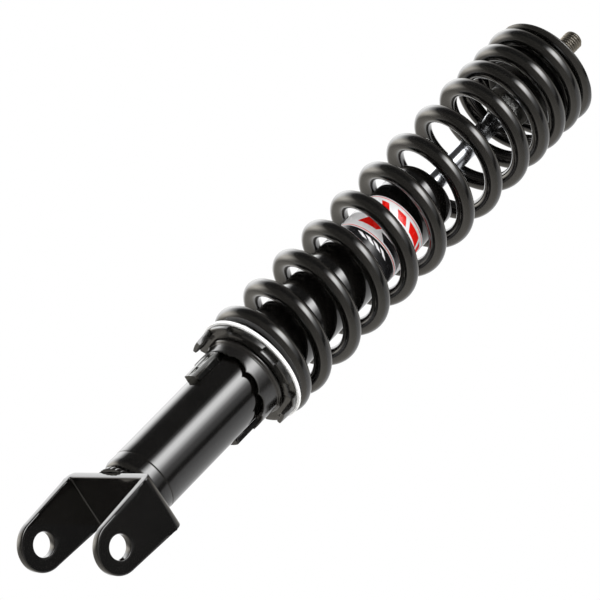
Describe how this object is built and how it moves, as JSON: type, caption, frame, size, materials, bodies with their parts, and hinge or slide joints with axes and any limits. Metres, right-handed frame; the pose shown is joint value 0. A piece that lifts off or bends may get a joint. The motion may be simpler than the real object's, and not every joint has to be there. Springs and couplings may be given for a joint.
{
  "type": "suspension strut assembly",
  "caption": "Spring and damper strut with a bolt fork below, a stepped preload collar, a coil spring of two pitches and a threaded stud on top.",
  "frame": {"origin": "centre of the fork's two bolt bores", "axes": "+X along the fork's bores, +Y across the width of the ears, +Z along the strut towards the threaded stud"},
  "size_m": [0.062, 0.059, 0.4069],
  "materials": {
    "gloss_black_paint": "gloss",
    "black_enamel": "satin",
    "tube_enamel": "gloss",
    "zinc_plate": "bright",
    "bright_ring": "polished",
    "hard_chrome": "polished",
    "turned_steel": "machined",
    "valve_steel": "satin",
    "light_alloy": "machined",
    "bearing_bronze": "satin",
    "black_rubber": "matte",
    "brown_rubber": "matte",
    "ring_plastic": "matte",
    "label_film": "gloss"
  },
  "bodies": {
    "damper": {"clevis_bracket": "gloss_black_paint", "clevis_weld": "black_enamel", "tube_base_cap": "tube_enamel", "damper_tube": "tube_enamel", "preload_lugs": "zinc_plate", "label_band": "label_film", "gland_cap": "tube_enamel", "gland_o_ring": "black_rubber", "rod_oil_seal": "brown_rubber", "dust_wiper": "black_rubber", "rod_guide": "light_alloy", "guide_bushing": "bearing_bronze", "pressure_tube": "turned_steel", "base_valve_body": "light_alloy", "base_valve_plate": "valve_steel", "base_valve_bolt": "valve_steel", "coil_spring": "gloss_black_paint"},
    "spring_seat": {"spring_seat_ring": "bright_ring"},
    "collar": {"preload_collar": "black_enamel"},
    "rod": {"piston_rod": "hard_chrome", "piston": "light_alloy", "piston_ring": "ring_plastic", "rebound_shims": "valve_steel", "compression_shims": "valve_steel", "piston_nut": "valve_steel", "top_out_buffer": "black_rubber", "buffer_retainer": "valve_steel", "upper_spring_seat": "black_enamel", "under_seat_nut": "zinc_plate", "seat_clamp_nut": "zinc_plate"}
  },
  "joints": [
    {"name": "rod_slide", "type": "slide", "parent": "damper", "child": "rod", "axis": [0, 0, 1], "range_m": [-0.06, 0], "stiffness_N_per_m": 42000, "springref_m": 0.008, "deforming": ["coil_spring"]},
    {"name": "preload_lift", "type": "slide", "parent": "damper", "child": "spring_seat", "axis": [0, 0, 1], "range_m": [0, 0.0092], "deforming": ["coil_spring"]},
    {"name": "preload_turn", "type": "hinge", "parent": "spring_seat", "child": "collar", "pos_m": [0, 0, 0.126], "axis": [0, 0, -1], "range_deg": [0, 143.5]}
  ],
  "couplings": [
    {"joint": "preload_lift", "follows": "preload_turn", "m_per_rad": 0.0036461}
  ]
}
